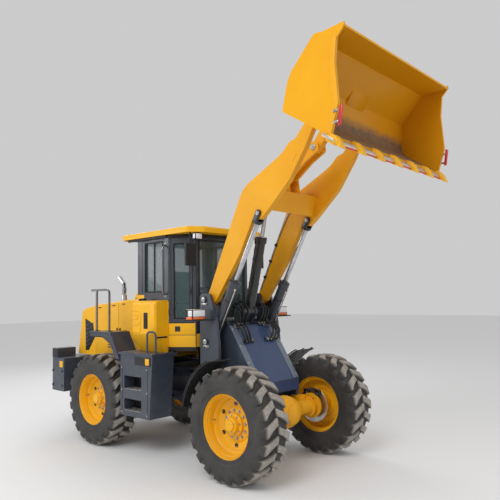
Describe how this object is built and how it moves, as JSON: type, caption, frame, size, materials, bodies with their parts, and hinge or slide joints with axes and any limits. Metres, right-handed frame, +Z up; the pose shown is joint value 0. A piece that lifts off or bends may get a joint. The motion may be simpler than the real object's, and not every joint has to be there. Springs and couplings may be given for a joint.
{
  "type": "wheel loader",
  "caption": "Articulated wheel loader with a raised Z-bar boom and bucket, glazed cab, rear engine under a hood and large treaded wheels.",
  "frame": {"origin": "on the ground under the middle of the bounding box", "axes": "+X forward to the bucket, +Y to the left side, +Z up"},
  "size_m": [5.6, 2.22, 4.315],
  "materials": {
    "loader_yellow": "gloss",
    "frame_grey": "satin",
    "black_fittings": "matte",
    "tyre_rubber": "matte",
    "chrome_rod": "polished",
    "tinted_glass": "polished",
    "seat_cover": "matte",
    "worn_steel": "satin"
  },
  "bodies": {
    "boom": {"boom": "loader_yellow"},
    "bucket": {"bucket": "loader_yellow", "bucket_edge": "worn_steel"},
    "link": {"bucket_link": "loader_yellow"},
    "door_left": {"cab_door_left": "black_fittings", "door_glass_left": "tinted_glass"},
    "door_right": {"cab_door_right": "black_fittings", "door_glass_right": "tinted_glass"},
    "rear_frame": {"cab_roof": "loader_yellow", "cab_shell": "frame_grey", "counterweight": "frame_grey", "engine_block": "worn_steel", "engine_hood": "loader_yellow", "exhaust_stack": "chrome_rod", "handrail_left": "worn_steel", "handrail_right": "worn_steel", "mirror_left": "black_fittings", "mirror_right": "black_fittings", "operator_seat": "seat_cover", "rear_axle": "loader_yellow", "rear_fender_left": "frame_grey", "rear_fender_right": "frame_grey", "rear_frame": "frame_grey", "rear_window": "tinted_glass", "side_tank_left": "loader_yellow", "side_tank_right": "loader_yellow", "side_window_left": "tinted_glass", "side_window_right": "tinted_glass", "steering_column": "black_fittings", "step_left": "frame_grey", "step_right": "frame_grey", "windscreen": "tinted_glass"},
    "front_frame": {"front_axle": "loader_yellow", "front_cover": "frame_grey", "front_fender_left": "black_fittings", "front_fender_right": "black_fittings", "front_frame": "frame_grey", "front_lamp_left": "black_fittings", "front_lamp_right": "black_fittings"},
    "lift_barrel_left": {"lift_barrel_left": "frame_grey"},
    "lift_barrel_right": {"lift_barrel_right": "frame_grey"},
    "lift_rod_left": {"lift_rod_left": "chrome_rod"},
    "lift_rod_right": {"lift_rod_right": "chrome_rod"},
    "wheel_front_left": {"rim_front_left": "loader_yellow", "tyre_front_left": "tyre_rubber"},
    "wheel_front_right": {"rim_front_right": "loader_yellow", "tyre_front_right": "tyre_rubber"},
    "wheel_rear_left": {"rim_rear_left": "loader_yellow", "tyre_rear_left": "tyre_rubber"},
    "wheel_rear_right": {"rim_rear_right": "loader_yellow", "tyre_rear_right": "tyre_rubber"},
    "rocker": {"rocker": "loader_yellow"},
    "tilt_barrel": {"tilt_barrel": "black_fittings"},
    "tilt_rod": {"tilt_rod": "chrome_rod"}
  },
  "joints": [
    {"name": "articulation", "type": "hinge", "parent": "rear_frame", "child": "front_frame", "pos_m": [-0.165, 0, 0.8], "axis": [0, 0, -1], "range_deg": [-35, 35]},
    {"name": "boom_lift", "type": "hinge", "parent": "front_frame", "child": "boom", "pos_m": [0.39, 0, 1.914], "axis": [0, 1, 0], "range_deg": [0, 95]},
    {"name": "bucket_tilt", "type": "hinge", "parent": "boom", "child": "bucket", "pos_m": [2.04, 0, 3.81], "axis": [0, -1, 0], "range_deg": [-8, 158]},
    {"name": "rocker_swing", "type": "hinge", "parent": "boom", "child": "rocker", "pos_m": [1.26, 0, 3.38], "axis": [0, 1, 0], "range_deg": [-6, 69.9]},
    {"name": "link_swing", "type": "hinge", "parent": "bucket", "child": "link", "pos_m": [2.085, 0, 4.06], "axis": [0, 1, 0], "range_deg": [-9, 146.2]},
    {"name": "tilt_barrel_swing", "type": "hinge", "parent": "front_frame", "child": "tilt_barrel", "pos_m": [0.6, 0, 1.76], "axis": [0, 1, 0], "range_deg": [-2, 96.2]},
    {"name": "tilt_rod_slide", "type": "slide", "parent": "tilt_barrel", "child": "tilt_rod", "axis": [0.2356, 0, 0.9719], "range_m": [-0.05, 0.174]},
    {"name": "lift_barrel_swing_right", "type": "hinge", "parent": "front_frame", "child": "lift_barrel_right", "pos_m": [0.412, -0.45, 1.4155], "axis": [0, 1, 0], "range_deg": [-2, 88.7]},
    {"name": "lift_rod_slide_right", "type": "slide", "parent": "lift_barrel_right", "child": "lift_rod_right", "axis": [0.4884, 0, 0.8726], "range_m": [-0.733, 0.02]},
    {"name": "lift_barrel_swing_left", "type": "hinge", "parent": "front_frame", "child": "lift_barrel_left", "pos_m": [0.412, 0.45, 1.4155], "axis": [0, 1, 0], "range_deg": [-2, 88.7]},
    {"name": "lift_rod_slide_left", "type": "slide", "parent": "lift_barrel_left", "child": "lift_rod_left", "axis": [0.4884, 0, 0.8726], "range_m": [-0.733, 0.02]},
    {"name": "door_right_swing", "type": "hinge", "parent": "rear_frame", "child": "door_right", "pos_m": [-0.1641, -0.6533, 2.15], "axis": [0, 0, 1], "range_deg": [-100, 0]},
    {"name": "door_left_swing", "type": "hinge", "parent": "rear_frame", "child": "door_left", "pos_m": [-0.1641, 0.6533, 2.15], "axis": [0, 0, 1], "range_deg": [0, 100]},
    {"name": "wheel_front_right_spin", "type": "hinge", "parent": "front_frame", "child": "wheel_front_right", "pos_m": [1.12, 0, 0.6], "axis": [0, 1, 0], "continuous": true},
    {"name": "wheel_front_left_spin", "type": "hinge", "parent": "front_frame", "child": "wheel_front_left", "pos_m": [1.12, 0, 0.6], "axis": [0, 1, 0], "continuous": true},
    {"name": "wheel_rear_right_spin", "type": "hinge", "parent": "rear_frame", "child": "wheel_rear_right", "pos_m": [-1.45, 0, 0.6], "axis": [0, 1, 0], "continuous": true},
    {"name": "wheel_rear_left_spin", "type": "hinge", "parent": "rear_frame", "child": "wheel_rear_left", "pos_m": [-1.45, 0, 0.6], "axis": [0, 1, 0], "continuous": true}
  ],
  "couplings": [
    {"joint": "rocker_swing", "follows": "bucket_tilt", "ratio": 0.42993},
    {"joint": "link_swing", "follows": "bucket_tilt", "ratio": 0.91274},
    {"joint": "tilt_rod_slide", "follows": "bucket_tilt", "m_per_rad": 0.04514},
    {"joint": "tilt_barrel_swing", "follows": "boom_lift", "ratio": 0.99155},
    {"joint": "lift_barrel_swing_right", "follows": "boom_lift", "ratio": 0.91282},
    {"joint": "lift_rod_slide_right", "follows": "boom_lift", "m_per_rad": -0.43001},
    {"joint": "lift_barrel_swing_left", "follows": "boom_lift", "ratio": 0.91282},
    {"joint": "lift_rod_slide_left", "follows": "boom_lift", "m_per_rad": -0.43001}
  ]
}
